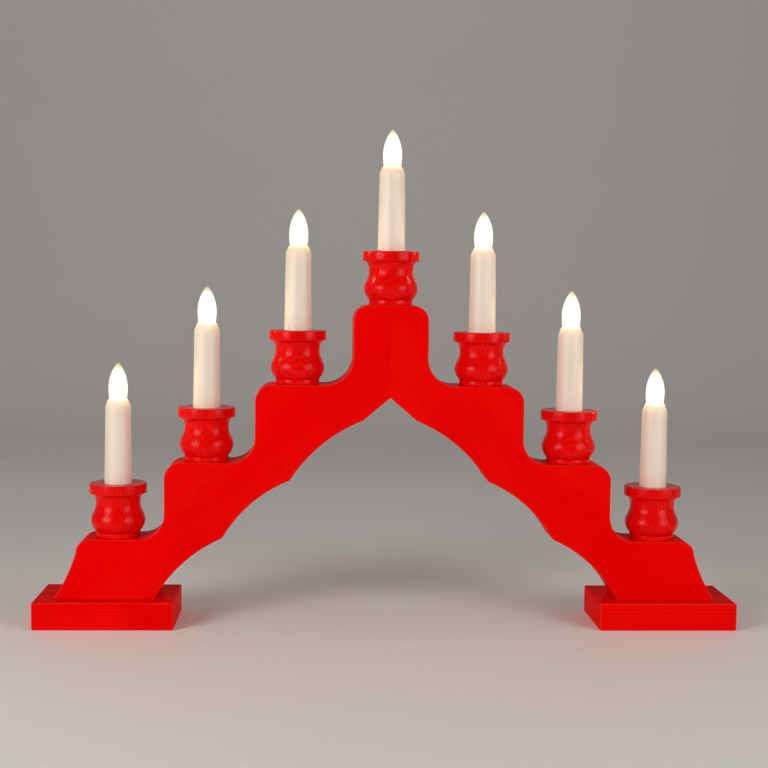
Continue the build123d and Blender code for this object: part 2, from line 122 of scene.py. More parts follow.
class SleeveProperties(bpy.types.PropertyGroup):
    """The moulded candle sleeves."""

    plastic: colour_field("Plastic", "Colour of the sleeves", (0.78, 0.655, 0.53))
    lit_plastic: colour_field("Lit plastic", "Lamp light that comes through the cone", (0.22, 0.12, 0.06))
    shoulder_radius: size_field("Shoulder", "Radius at the shoulder", 0.0074)
    mouth_radius: size_field("Mouth", "Outer radius of the mouth", 0.0057)
    cone_height: size_field("Cone height", "Height of the cone", 0.0037)
    wall: size_field("Wall", "Thickness of the wall", 0.0013)
    web_drop: size_field("Web drop", "Depth of the web that carries the contacts", 0.0135)
    web_thickness: size_field("Web thickness", "Thickness of that web", 0.0016)
    rivet_hole: size_field("Rivet hole", "Radius of the hole in the web for the contact's rivet", 0.0011)
    lip: size_field("Lip", "Width of the lip round the mouth", 0.0004)
    lip_depth: size_field("Lip depth", "Depth of the wide part of the mouth", 0.0035)
    shell_clearance: size_field("Shell clearance", "Between the shell and the sleeve's bore", 0.0003)
    foot_rise: size_field("Foot rise", "How far the foot's inner edge lies over its outer one", 0.00002)
    rounding: size_field("Rounding", "Radius of the sleeve's edges", 0.00025)


class LampProperties(bpy.types.PropertyGroup):
    """The screw lamps and the shells that they screw into."""

    glow: colour_field("Glow", "The glass's middle as it is seen", (1.25, 1.16, 0.96))
    warm_glow: colour_field("Warm glow", "The glass's foot and point as they are seen", (0.70, 0.56, 0.30))
    lamp_light: colour_field("Lamp light", "Light that the glass throws on its neighbours", (15.0, 12.0, 8.0))
    pitch: size_field("Pitch", "Pitch of the thread", 0.001814)
    thread_depth: size_field("Thread depth", "Depth of the rolled thread", 0.00044)
    cap_radius: size_field("Cap", "Outer radius of the cap", 0.0047)
    clearance: size_field("Clearance", "Between the cap and its shell", 0.0001)
    sheet: size_field("Sheet", "Thickness of the brass", 0.00025)
    glass_wall: size_field("Glass wall", "Thickness of the glass", 0.0006)
    skirt_radius: size_field("Skirt", "Radius of the glass's skirt, which stands in the cap", 0.00435)
    waist_radius: size_field("Waist", "Radius of the glass where it leaves the cap", 0.00495)
    waist_height: size_field("Waist height", "Height of the waist over the skirt's lower end", 0.0035)
    waist_flare: size_field("Waist flare", "Height over which the skirt widens to the waist", 0.0015)
    belly_radius: size_field("Belly", "Radius of the glass's belly", 0.0055)
    belly_rise: size_field("Belly rise", "Height of the belly over the waist", 0.007)
    point_radius: size_field("Point", "Radius of the glass's rounded point", 0.0011)
    floor_height: size_field("Cap floor", "Height of the cap's coned floor", 0.001)
    floor_hole: size_field("Floor hole", "Radius of the hole in the cap's floor", 0.0031)
    floor_edge: size_field("Floor edge", "Height of the upright edge of the cap's floor", 0.0002)
    floor_wall: size_field("Floor wall", "Thickness of the cap's floor", 0.0003)
    button_radius: size_field("Button", "Radius of the soldered button", 0.0016)
    button_rounding: size_field("Button rounding", "Radius of the button's lower edge", 0.0005)
    bead_radius: size_field("Bead", "Radius of the insulating bead", 0.003)
    bead_height: size_field("Bead height", "Height of the insulating bead", 0.00145)
    tab_width: size_field("Tab width", "Width of the shell's solder tab", 0.0024)
    tab_length: size_field("Tab length", "How far the solder tab hangs under the shell", 0.0056)
    tab_overlap: size_field("Tab overlap", "How far the solder tab reaches up the shell", 0.0006)


class StageProperties(bpy.types.PropertyGroup):
    """The plain studio."""

    floor: colour_field("Floor", "Colour of the floor and the backdrop", (0.88, 0.85, 0.81))
    key_power: number_field("Key lamp", "Power of the left lamp in watts", 7.1)
    fill_power: number_field("Fill lamp", "Power of the right lamp in watts", 5.5)
    top_power: number_field("Top lamp", "Power of the overhead lamp in watts", 0.5)
    daylight: number_field("Room light", "Strength of the room's light", 0.18)


# Node trees


def node(tree, kind, inputs=(), **settings):
    """A node with its settings, and each input linked or set."""
    made = tree.nodes.new(kind)
    for name, value in settings.items():
        setattr(made, name, value)
    for place, value in dict(inputs).items():
        if isinstance(value, bpy.types.NodeSocket):
            tree.links.new(value, made.inputs[place])
        else:
            made.inputs[place].default_value = value
    return made


def math(tree, operation, *values):
    kind = "ShaderNodeMath"
    return node(tree, kind, dict(enumerate(values)), operation=operation).outputs[0]


def stretched(tree, vector, scale, detail=2.0):
    """Noise on a vector that is stretched along its axes."""
    place = node(tree, "ShaderNodeVectorMath", {0: vector, 1: scale}, operation="MULTIPLY").outputs[0]
    return node(tree, "ShaderNodeTexNoise", {"Vector": place, "Scale": 1.0, "Detail": detail}).outputs["Fac"]


def ramp(tree, value, low, high):
    """The value between two limits, spread over 0 to 1."""
    inputs = {"Value": value, "From Min": low, "From Max": high}
    return node(tree, "ShaderNodeMapRange", inputs, interpolation_type="SMOOTHSTEP").outputs[0]


def blend_colours(tree, share, first, second):
    mixed = node(tree, "ShaderNodeMix", data_type="RGBA")
    for place, value in (("Factor_Float", share), ("A_Color", first), ("B_Color", second)):
        socket = next(s for s in mixed.inputs if s.identifier == place)
        if isinstance(value, bpy.types.NodeSocket):
            tree.links.new(value, socket)
        else:
            socket.default_value = value if isinstance(value, float) else (*value, 1.0)[:4]
    return next(s for s in mixed.outputs if s.identifier == "Result_Color")


def new_group(name, inputs, outputs):
    """An empty shader node group with its named sockets."""
    tree = bpy.data.node_groups.new(name, "ShaderNodeTree")
    for label, kind, value in inputs:
        socket = tree.interface.new_socket(label, in_out="INPUT", socket_type="NodeSocket" + kind)
        if value is not None:
            socket.default_value = value
    for label in outputs:
        tree.interface.new_socket(label, in_out="OUTPUT", socket_type="NodeSocketFloat")
    return tree, node(tree, "NodeGroupInput").outputs, node(tree, "NodeGroupOutput").inputs


def plank_grain():
    """Grain that runs along X: raised lines in patches, and fine fibres between them."""
    tree, given, put = new_group(
        "Plank Grain",
        [("Vector", "Vector", None), ("Ridge Pitch", "Float", 0.0016), ("Waviness", "Float", 0.004)],
        ["Ridges", "Fibres", "Height"],
    )
    vector = given["Vector"]
    across = node(tree, "ShaderNodeSeparateXYZ", {0: vector}).outputs["Z"]
    wander = math(tree, "SUBTRACT", stretched(tree, vector, (7.0, 26.0, 40.0)), 0.5)
    across = math(tree, "MULTIPLY_ADD", wander, given["Waviness"], across)
    turn = math(tree, "DIVIDE", math(tree, "MULTIPLY", across, tau), given["Ridge Pitch"])
    wave = math(tree, "MULTIPLY_ADD", math(tree, "SINE", turn), 0.5, 0.5)
    patches = ramp(tree, stretched(tree, vector, (12.0, 30.0, 34.0)), 0.42, 0.66)
    ridges = math(tree, "MULTIPLY", wave, patches)
    fibres = stretched(tree, vector, (90.0, 900.0, 1300.0), 3.0)
    ridge_height = math(tree, "MULTIPLY", ridges, 0.7)
    tree.links.new(ridges, put["Ridges"])
    tree.links.new(fibres, put["Fibres"])
    tree.links.new(math(tree, "MULTIPLY_ADD", fibres, 0.45, ridge_height), put["Height"])
    return tree


def turned_rings():
    """Year rings of a turned blank whose heart lies behind it along Y."""
    tree, given, put = new_group(
        "Turned Rings",
        [("Vector", "Vector", None), ("Ring Pitch", "Float", 0.0017), ("Heart Distance", "Float", 0.05)],
        ["Rings", "Fibres", "Height"],
    )
    vector = given["Vector"]
    parts = node(tree, "ShaderNodeSeparateXYZ", {0: vector}).outputs
    depth = math(tree, "SUBTRACT", parts["Y"], given["Heart Distance"])
    across = math(tree, "POWER", parts["X"], 2.0)
    reach = math(tree, "SQRT", math(tree, "ADD", across, math(tree, "POWER", depth, 2.0)))
    wander = math(tree, "SUBTRACT", stretched(tree, vector, (70.0, 70.0, 25.0)), 0.5)
    reach = math(tree, "MULTIPLY_ADD", wander, 0.0022, reach)
    turn = math(tree, "DIVIDE", math(tree, "MULTIPLY", reach, tau), given["Ring Pitch"])
    wave = math(tree, "POWER", math(tree, "MULTIPLY_ADD", math(tree, "SINE", turn), 0.5, 0.5), 1.6)
    fibres = stretched(tree, vector, (1500.0, 1500.0, 160.0), 3.0)
    tree.links.new(wave, put["Rings"])
    tree.links.new(fibres, put["Fibres"])
    tree.links.new(math(tree, "MULTIPLY_ADD", fibres, 0.5, math(tree, "MULTIPLY", wave, 0.5)), put["Height"])
    return tree


def surface_marks():
    """Cloudy wear and fine specks, for paint, plastic and metal."""
    tree, given, put = new_group(
        "Surface Marks",
        [("Vector", "Vector", None), ("Cloud Size", "Float", 0.02), ("Speck Size", "Float", 0.0006)],
        ["Clouds", "Specks"],
    )
    for label, size, detail in (("Clouds", "Cloud Size", 4.0), ("Specks", "Speck Size", 2.0)):
        scale = math(tree, "DIVIDE", 1.0, given[size])
        inputs = {"Vector": given["Vector"], "Scale": scale, "Detail": detail}
        tree.links.new(node(tree, "ShaderNodeTexNoise", inputs).outputs["Fac"], put[label])
    return tree


GROUPS = {}


def shared(tree, maker, **inputs):
    """One of the shared groups, placed in a material with its own values."""
    name = maker.__name__
    if name not in GROUPS:
        GROUPS[name] = maker()
    placed = node(tree, "ShaderNodeGroup", node_tree=GROUPS[name])
    for label, value in inputs.items():
        socket = placed.inputs[label.replace("_", " ").title()]
        if isinstance(value, bpy.types.NodeSocket):
            tree.links.new(value, socket)
        else:
            socket.default_value = value
    return placed.outputs


# Materials


def new_material(name, **settings):
    """A material with one Principled shader, whose plain values stand on its own sockets."""
    made = bpy.data.materials.new(name)
    made.use_nodes = True
    tree = made.node_tree
    tree.nodes.clear()
    values = {label.replace("_", " "): value for label, value in settings.items()}
    shader = node(tree, "ShaderNodeBsdfPrincipled", values)
    node(tree, "ShaderNodeOutputMaterial", {"Surface": shader.outputs[0]})
    made.diffuse_color = (0.6, 0.6, 0.6, 1.0)
    return made, tree, shader


def object_place(tree, location=(0, 0, 0), rotation=(0, 0, 0)):
    """Object coordinates, centred and turned for one piece."""
    place = node(tree, "ShaderNodeTexCoord").outputs["Object"]
    inputs = {"Vector": place, "Location": location, "Rotation": rotation}
    return node(tree, "ShaderNodeMapping", inputs, vector_type="TEXTURE").outputs[0]


def rough_and_bump(tree, shader, roughness, spread, mask, height, distance):
    """Roughness about a middle value, and bumps of a real height."""
    limits = {"Value": mask, "To Min": roughness - spread, "To Max": roughness + spread}
    tree.links.new(node(tree, "ShaderNodeMapRange", limits).outputs[0], shader.inputs["Roughness"])
    bump = node(tree, "ShaderNodeBump", {"Height": height, "Distance": distance, "Strength": 1.0})
    tree.links.new(bump.outputs[0], shader.inputs["Normal"])


def rounded_edge(tree):
    """1 where a face turns from the front or back to a side, as rounded edges do, and 0 on flat faces."""
    facing = node(tree, "ShaderNodeNewGeometry").outputs["True Normal"]
    depth = math(tree, "ABSOLUTE", node(tree, "ShaderNodeSeparateXYZ", {0: facing}).outputs["Y"])
    return math(tree, "MULTIPLY", ramp(tree, depth, 0.05, 0.3), ramp(tree, depth, 0.99, 0.9))


def painted_wood(name, vector_turn, ridge_pitch, waviness, ridge_height):
    """Thin red paint over brushed softwood whose grain runs along the turned X, with a painted highlight in
    lighter red on the rounded edges.
    """
    paint = bpy.context.scene.arch_paint
    made, tree, shader = new_material(name, Specular_IOR_Level=0.004, Coat_Roughness=0.22, Coat_IOR=1.5)
    place = object_place(tree, rotation=vector_turn)
    grain = shared(tree, plank_grain, vector=place, ridge_pitch=ridge_pitch, waviness=waviness)
    marks = shared(tree, surface_marks, vector=place, cloud_size=0.03, speck_size=0.0009)
    thin_share, thick_share, worn_share, edge_highlight_share, edge_coat = 0.7, 0.3, 0.22, 0.35, 0.15
    thin = math(tree, "MULTIPLY", grain["Ridges"], thin_share)
    colour = blend_colours(tree, thin, tuple(paint.red), tuple(paint.bright_red))
    thick = math(tree, "MULTIPLY", ramp(tree, grain["Fibres"], 0.52, 0.75), thick_share)
    colour = blend_colours(tree, thick, colour, tuple(paint.deep_red))
    worn = math(tree, "MULTIPLY", ramp(tree, marks["Clouds"], 0.45, 0.75), worn_share)
    colour = blend_colours(tree, worn, colour, tuple(paint.deep_red))
    # Painted highlight: the rounded edges are blended towards a lighter red; the coat on them is real gloss.
    edge = rounded_edge(tree)
    colour = blend_colours(tree, math(tree, "MULTIPLY", edge, edge_highlight_share), colour, tuple(paint.edge_highlight_red))
    tree.links.new(colour, shader.inputs["Base Color"])
    tree.links.new(math(tree, "MULTIPLY", edge, edge_coat), shader.inputs["Coat Weight"])
    rough_and_bump(tree, shader, 0.32, 0.06, marks["Clouds"], grain["Height"], ridge_height)
    return made


def cup_paint(number, centre, turn):
    """Red paint over a turned blank; the turn sets which side of the rings faces the front."""
    paint = bpy.context.scene.arch_paint
    made, tree, shader = new_material(f"Cup Paint {number}", Specular_IOR_Level=0.10)
    place = object_place(tree, location=centre, rotation=(radians(2), 0, turn))
    wood = shared(tree, turned_rings, vector=place, ring_pitch=paint.ring_pitch, heart_distance=0.055)
    marks = shared(tree, surface_marks, vector=place, cloud_size=0.012, speck_size=0.0007)
    light_share, dark_share, pore_share = 0.25, 0.45, 0.35
    light = math(tree, "MULTIPLY", wood["Rings"], light_share)
    colour = blend_colours(tree, light, tuple(paint.red), tuple(paint.bright_red))
    dark = math(tree, "MULTIPLY", ramp(tree, wood["Rings"], 0.5, 0.0), dark_share)
    colour = blend_colours(tree, dark, colour, tuple(paint.deep_red))
    pores = math(tree, "MULTIPLY", ramp(tree, wood["Fibres"], 0.56, 0.74), pore_share)
    colour = blend_colours(tree, pores, colour, tuple(paint.deep_red))
    tree.links.new(colour, shader.inputs["Base Color"])
    rough_and_bump(tree, shader, 0.21, 0.05, marks["Clouds"], wood["Height"], 0.00004)
    return made


def bare_beech():
    made, tree, shader = new_material("Bare Beech", Specular_IOR_Level=0.3)
    place = object_place(tree)
    grain = shared(tree, plank_grain, vector=place, ridge_pitch=0.0009, waviness=0.002)
    colour = blend_colours(tree, grain["Ridges"], (0.62, 0.42, 0.25), (0.45, 0.28, 0.15))
    colour = blend_colours(tree, math(tree, "MULTIPLY", grain["Fibres"], 0.5), colour, (0.72, 0.55, 0.36))
    tree.links.new(colour, shader.inputs["Base Color"])
    rough_and_bump(tree, shader, 0.6, 0.08, grain["Fibres"], grain["Height"], 0.0001)
    return made


def sleeve_plastic():
    """Milky moulded plastic, with the lamp's light coming through near its mouth."""
    sizes = bpy.context.scene.arch_sleeve
    made, tree, shader = new_material(
        "Sleeve Plastic", Specular_IOR_Level=0.5, Subsurface_Weight=0.12,
        Subsurface_Radius=(0.004, 0.003, 0.002), Subsurface_Scale=1.0, Emission_Strength=1.0,
    )
    marks = shared(tree, surface_marks, vector=object_place(tree), cloud_size=0.018, speck_size=0.0005)
    draw_lines = stretched(tree, object_place(tree), (1400.0, 1400.0, 22.0), 2.0)
    yellowed = tuple(value * share for value, share in zip(sizes.plastic, (0.97, 0.94, 0.88)))
    share = math(tree, "MULTIPLY", ramp(tree, marks["Clouds"], 0.4, 0.7), 0.5)
    tree.links.new(blend_colours(tree, share, tuple(sizes.plastic), yellowed), shader.inputs["Base Color"])
    height = node(tree, "ShaderNodeSeparateXYZ", {0: node(tree, "ShaderNodeUVMap").outputs[0]}).outputs["Y"]
    through = math(tree, "POWER", ramp(tree, height, 0.80, 1.02), 2.0)
    lit = blend_colours(tree, through, (0.0, 0.0, 0.0), tuple(sizes.lit_plastic))
    tree.links.new(lit, shader.inputs["Emission Color"])
    bumps = math(tree, "MULTIPLY_ADD", marks["Specks"], 0.5, math(tree, "MULTIPLY", draw_lines, 0.5))
    rough_and_bump(tree, shader, 0.42, 0.05, marks["Clouds"], bumps, 0.00003)
    return made


def lit_glass():
    """Frosted glass lit from inside: warm at its foot and point, nearly white between."""
    lamp = bpy.context.scene.arch_lamp
    made, tree, shader = new_material(
        "Lit Glass", Base_Color=(0.10, 0.09, 0.07, 1.0), Specular_IOR_Level=0.5, Emission_Strength=1.0
    )
    height = node(tree, "ShaderNodeSeparateXYZ", {0: node(tree, "ShaderNodeUVMap").outputs[0]}).outputs["Y"]
    frost = shared(tree, surface_marks, vector=object_place(tree), cloud_size=0.005, speck_size=0.0004)
    foot = ramp(tree, height, 0.22, 0.04)
    point = ramp(tree, height, 0.80, 0.99)
    warm = math(tree, "MAXIMUM", foot, point)
    seen = blend_colours(tree, warm, tuple(lamp.glow), tuple(lamp.warm_glow))
    by_camera = node(tree, "ShaderNodeLightPath").outputs["Is Camera Ray"]
    colour = blend_colours(tree, by_camera, tuple(lamp.lamp_light), seen)
    tree.links.new(colour, shader.inputs["Emission Color"])
    rough_and_bump(tree, shader, 0.3, 0.06, frost["Clouds"], frost["Specks"], 0.00002)
    return made


def metal(name, colour, dull, roughness, speck=0.0005, metallic=1.0):
    """A drawn or rolled metal with a faint haze and fine marks."""
    made, tree, shader = new_material(name, Metallic=metallic)
    marks = shared(tree, surface_marks, vector=object_place(tree), cloud_size=0.004, speck_size=speck)
    haze = ramp(tree, marks["Clouds"], 0.4, 0.72)
    tree.links.new(blend_colours(tree, haze, colour, dull), shader.inputs["Base Color"])
    rough_and_bump(tree, shader, roughness, 0.07, marks["Clouds"], marks["Specks"], 0.00002)
    return made


def wire_sheath():
    made, tree, shader = new_material("Wire Sheath", Specular_IOR_Level=0.45)
    marks = shared(tree, surface_marks, vector=object_place(tree), cloud_size=0.009, speck_size=0.0004)
    grime = math(tree, "MULTIPLY", ramp(tree, marks["Clouds"], 0.45, 0.75), 0.6)
    colour = blend_colours(tree, grime, (0.80, 0.78, 0.73), (0.62, 0.58, 0.50))
    tree.links.new(colour, shader.inputs["Base Color"])
    rough_and_bump(tree, shader, 0.48, 0.06, marks["Clouds"], marks["Specks"], 0.00003)
    return made


def give(obj, *materials):
    """Put these materials in the object's slots."""
    obj.data.materials.clear()
    for made in materials:
        obj.data.materials.append(made)


# Turned shapes


def arc(centre, radius, start, end, steps):
    """Points on an arc of the outline, from one angle to another."""
    turns = [start + (end - start) * i / steps for i in range(steps + 1)]
    return [(centre[0] + radius * cos(turn), centre[1] + radius * sin(turn)) for turn in turns]


def softened(outline, radius, steps=3):
    """An open outline whose inner corners are rounded."""
    made = [outline[0]]
    for before, corner, after in zip(outline, outline[1:], outline[2:]):
        into = Vector(before) - Vector(corner)
        out = Vector(after) - Vector(corner)
        opening = into.angle(out, pi)
        if opening > radians(168):
            made.append(corner)
            continue
        reach = min(radius, into.length * 0.45, out.length * 0.45)
        start = Vector(corner) + into.normalized() * reach
        end = Vector(corner) + out.normalized() * reach
        for i in range(steps + 1):
            t = i / steps
            place = start * (1 - t) ** 2 + Vector(corner) * 2 * t * (1 - t) + end * t**2
            made.append(tuple(place))
    return made + [outline[-1]]


def smooth_run(points, first_lean, last_lean, steps=7):
    """A smooth curve through outline points, which leaves and ends with the given leans."""
    leans = [first_lean]
    for before, after in zip(points, points[2:]):
        leans.append((Vector(after) - Vector(before)) / 2)
    leans.append(last_lean)
    made = []
    for i, (start, end) in enumerate(zip(points, points[1:])):
        length = (Vector(end) - Vector(start)).length
        lean_in = Vector(leans[i]).normalized() * length
        lean_out = Vector(leans[i + 1]).normalized() * length
        for k in range(steps):
            t = k / steps
            place = (2 * t**3 - 3 * t**2 + 1) * Vector(start) + (t**3 - 2 * t**2 + t) * lean_in
            place += (3 * t**2 - 2 * t**3) * Vector(end) + (t**3 - t**2) * lean_out
            made.append(tuple(place))
    return made + [points[-1]]


def turned_piece(name, outline, centre, around=72, sharp=radians(32), slots=None):
    """A solid turned about Z from an outline of radius and height, with U round it and V up it."""
    low = min(height for _, height in outline)
    tall = max(height for _, height in outline) - low
    shape = bmesh.new()
    rings = []
    for radius, height in outline:
        count = 1 if radius == 0 else around
        angles = [tau * i / count for i in range(count)]
        rings.append([shape.verts.new((radius * cos(a), radius * sin(a), height)) for a in angles])
    chart = shape.loops.layers.uv.new("UVMap")
    pairs = list(zip(range(len(rings)), range(1, len(rings))))
    if len(rings[0]) > 1:
        pairs.append((len(rings) - 1, 0))
    for step, (a, b) in enumerate(pairs):
        for i in range(around):
            k = (i + 1) % around
            corners = [(a, i, i), (a, k, i + 1), (b, k, i + 1), (b, i, i)]
            if len(rings[a]) == 1:
                corners.pop(1)
            elif len(rings[b]) == 1:
                corners.pop(2)
            face = shape.faces.new([rings[ring][place % len(rings[ring])] for ring, place, _ in corners])
            face.smooth = True
            face.material_index = slots[step] if slots else 0
            for loop, (ring, _, column) in zip(face.loops, corners):
                loop[chart].uv = (column / around, (outline[ring][1] - low) / tall)
    bmesh.ops.recalc_face_normals(shape, faces=shape.faces)
    for edge in shape.edges:
        edge.smooth = edge.calc_face_angle(0) < sharp
    bmesh.ops.translate(shape, verts=shape.verts, vec=centre)
    return finished(name, shape)


def finished(name, shape):
    """Turn a shape into an object of the scene."""
    mesh = bpy.data.meshes.new(name)
    shape.to_mesh(mesh)
    shape.free()
    obj = bpy.data.objects.new(name, mesh)
    bpy.context.scene.collection.objects.link(obj)
    return obj


def stand(piece, body, *replaced):
    """Let a piece ride with its body in place of the named nodes."""
    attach(piece, body)
    if replaced:
        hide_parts(*replaced)


def middle(name):
    """The middle of a node's base, and the height of its top."""
    low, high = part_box(name)
    return Vector(((low.x + high.x) / 2, (low.y + high.y) / 2, low.z)), high.z


# Geometry trees


def new_geometry(name, inputs):
    """An empty geometry tree with named inputs and one geometry output."""
    tree = bpy.data.node_groups.new(name, "GeometryNodeTree")
    for label, kind, value in inputs:
        socket = tree.interface.new_socket(label, in_out="INPUT", socket_type="NodeSocket" + kind)
        if value is not None:
            socket.default_value = value
    tree.interface.new_socket("Geometry", in_out="OUTPUT", socket_type="NodeSocketGeometry")
    return tree, node(tree, "NodeGroupInput").outputs, node(tree, "NodeGroupOutput").inputs


def rolled_thread():
    """A tube of thin sheet with a right-hand thread rolled into it, its foot at height zero."""
    tree, given, put = new_geometry(
        "Rolled Thread",
        [
            ("Crest Radius", "Float", 0.0047),
            ("Thread Depth", "Float", 0.00044),
            ("Pitch", "Float", 0.001814),
            ("Length", "Float", 0.008),
            ("Sheet", "Float", 0.00025),
            ("Plain Foot", "Float", 0.001),
            ("Plain Top", "Float", 0.001),
            ("Foot Draw", "Float", 1.0),
            ("Material", "Material", None),
        ],
    )
    grid = {"Size X": 1.0, "Size Y": 1.0, "Vertices X": 73, "Vertices Y": 120}
    sheet = node(tree, "GeometryNodeMeshGrid", grid)
    position = node(tree, "GeometryNodeInputPosition").outputs[0]
    place = node(tree, "ShaderNodeSeparateXYZ", {0: position}).outputs
    turn = math(tree, "MULTIPLY", place["X"], tau)
    along = math(tree, "MULTIPLY", place["Y"], 2.0)
    inner = math(tree, "LESS_THAN", along, 0.0)
    share = math(tree, "SUBTRACT", 1.0, math(tree, "ABSOLUTE", along))
    height = math(tree, "MULTIPLY", share, given["Length"])
    climb = math(tree, "DIVIDE", math(tree, "MULTIPLY", height, tau), given["Pitch"])
    phase = math(tree, "SUBTRACT", turn, climb)
    wave = math(tree, "MULTIPLY_ADD", math(tree, "COSINE", phase), -0.5, 0.5)
    foot = ramp(tree, height, math(tree, "MULTIPLY", given["Plain Foot"], 0.3), given["Plain Foot"])
    top_start = math(tree, "SUBTRACT", given["Length"], given["Plain Top"])
    top_end = math(tree, "SUBTRACT", given["Length"], math(tree, "MULTIPLY", given["Plain Top"], 0.3))
    top = math(tree, "SUBTRACT", 1.0, ramp(tree, height, top_start, top_end))
    drawn = math(tree, "MULTIPLY", math(tree, "SUBTRACT", 1.0, foot), given["Foot Draw"])
    sunk = math(tree, "MULTIPLY_ADD", wave, math(tree, "MULTIPLY", foot, top), drawn)
    sunk = math(tree, "MULTIPLY", sunk, given["Thread Depth"])
    radius = math(tree, "SUBTRACT", given["Crest Radius"], sunk)
    radius = math(tree, "SUBTRACT", radius, math(tree, "MULTIPLY", inner, given["Sheet"]))
    moved = {
        "X": math(tree, "MULTIPLY", radius, math(tree, "COSINE", turn)),
        "Y": math(tree, "MULTIPLY", radius, math(tree, "SINE", turn)),
        "Z": height,
    }
    position = node(tree, "ShaderNodeCombineXYZ", moved).outputs[0]
    rolled = node(tree, "GeometryNodeSetPosition", {"Geometry": sheet.outputs[0], "Position": position})
    closed = node(tree, "GeometryNodeMergeByDistance", {"Geometry": rolled.outputs[0], "Distance": 0.000002})
    real = node(tree, "GeometryNodeRealizeInstances", {"Geometry": closed.outputs[0]})
    finish = {"Geometry": real.outputs[0], "Material": given["Material"]}
    coated = node(tree, "GeometryNodeSetMaterial", finish)
    tree.links.new(coated.outputs[0], put["Geometry"])
    return tree


TREES = {}


def grown(name, maker, centre, **values):
    """A plain mesh object grown by a geometry tree with its own values, moved to its centre."""
    if maker.__name__ not in TREES:
        TREES[maker.__name__] = maker()
    tree = TREES[maker.__name__]
    seed = bpy.data.objects.new(name + "_seed", bpy.data.meshes.new(name + "_seed"))
    bpy.context.scene.collection.objects.link(seed)
    modifier = seed.modifiers.new("Grow", "NODES")
    modifier.node_group = tree
    for item in tree.interface.items_tree:
        label = item.name.lower().replace(" ", "_")
        if item.in_out == "INPUT" and label in values:
            modifier[item.identifier] = values[label]
    bpy.context.view_layer.update()
    evaluated = seed.evaluated_get(bpy.context.evaluated_depsgraph_get())
    mesh = bpy.data.meshes.new_from_object(evaluated)
    bpy.data.objects.remove(seed)
    shape = bmesh.new()
    shape.from_mesh(mesh)
    bmesh.ops.recalc_face_normals(shape, faces=shape.faces)
    for face in shape.faces:
        face.smooth = True
    bmesh.ops.translate(shape, verts=shape.verts, vec=centre)
    shape.to_mesh(mesh)
    shape.free()
    mesh.name = name
    obj = bpy.data.objects.new(name, mesh)
    bpy.context.scene.collection.objects.link(obj)
    return obj


def joined(name, pieces):
    """Several objects made one mesh, with their materials kept."""
    shape = bmesh.new()
    materials = []
    for piece in pieces:
        first = len(shape.faces)
        shape.from_mesh(piece.data)
        shape.faces.ensure_lookup_table()
        slots = []
        for made in piece.data.materials:
            if made not in materials:
                materials.append(made)
            slots.append(materials.index(made))
        for face in shape.faces[first:]:
            face.material_index = slots[face.material_index]
    obj = finished(name, shape)
    for made in materials:
        obj.data.materials.append(made)
    for piece in pieces:
        bpy.data.objects.remove(piece)
    return obj


# Operators


class ARCH_OT_boards(bpy.types.Operator):
    """Paint the two boards of the arch, each with its grain rising to the middle"""

    bl_idname = "arch.boards"
    bl_label = "Paint boards"

    def execute(self, context):
        paint = context.scene.arch_paint
        for name, turn in (("arch_left", -paint.grain_slope), ("arch_right", paint.grain_slope)):
            label = name.replace("_", " ").title() + " Paint"
            grain = (paint.ridge_pitch, paint.waviness, paint.ridge_height)
            give(NODES[name], painted_wood(label, (0, turn, 0), *grain))
        return {"FINISHED"}


class ARCH_OT_feet(bpy.types.Operator):
    """Paint the two foot blocks, whose grain runs along their length"""

    bl_idname = "arch.feet"
    bl_label = "Paint feet"

    def execute(self, context):
        paint = context.scene.arch_paint
        pitch = paint.ridge_pitch * paint.foot_pitch_share
        turn = (paint.foot_grain_turn, 0, 0)
        made = painted_wood("Foot Paint", turn, pitch, paint.foot_waviness, paint.foot_ridge_height)
        for name in ("foot_left", "foot_right"):
            give(NODES[name], made)
        return {"FINISHED"}


class ARCH_OT_cups(bpy.types.Operator):
    """Turn the seven cups, each from its own blank"""

    bl_idname = "arch.cups"
    bl_label = "Turn cups"

    def execute(self, context):
        sizes = context.scene.arch_cup
        ring_turns = (1.35, 0.55, 0.0, 0.12, 0.75, -0.08, 1.1)
        for number, turn in zip(CANDLES, ring_turns):
            name = f"cup_{number}"
            centre, _ = middle(name)
            centre.z += sizes.spigot_length
            cup = turned_piece(f"turned_cup_{number}", self.outline(context, name), centre, around=96)
            give(cup, cup_paint(number, centre + Vector((0, 0, sizes.heart_height)), turn))
            stand(cup, "arch", name)
        return {"FINISHED"}

    def outline(self, context, name):
        """Radius and height over the ledge, from the wire bore round the outside and back."""
        cup = context.scene.arch_cup
        low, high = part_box(name)
        rim = (high.x - low.x) / 2
        top = high.z - low.z - cup.spigot_length
        rim_base = top - cup.rim_height
        body = smooth_run(
            [
                (cup.ring_radius - cup.crease, cup.ring_height),
                (cup.belly_radius, cup.belly_height),
                (cup.neck_radius, cup.neck_height),
                (rim - cup.rim_step, rim_base),
            ],
            (1, 0.9),
            (1, 0.6),
            steps=9,
        )
        foot = softened(
            [
                (cup.bore, -cup.spigot_length),
                (cup.spigot_radius, -cup.spigot_length),
                (cup.spigot_radius, 0),
                (cup.ring_radius, 0),
                (cup.ring_radius, cup.ring_height),
                body[0],
            ],
            cup.foot_rounding,
        )
        rim_part = softened(
            [
                body[-1],
                (rim, rim_base),
                (rim, top),
                (cup.seat_radius, top),
                (cup.seat_radius, top - cup.seat_depth),
                (cup.bore, top - cup.seat_depth),
            ],
            cup.rim_rounding,
            steps=4,
        )
        return foot[:-1] + body + rim_part[1:]


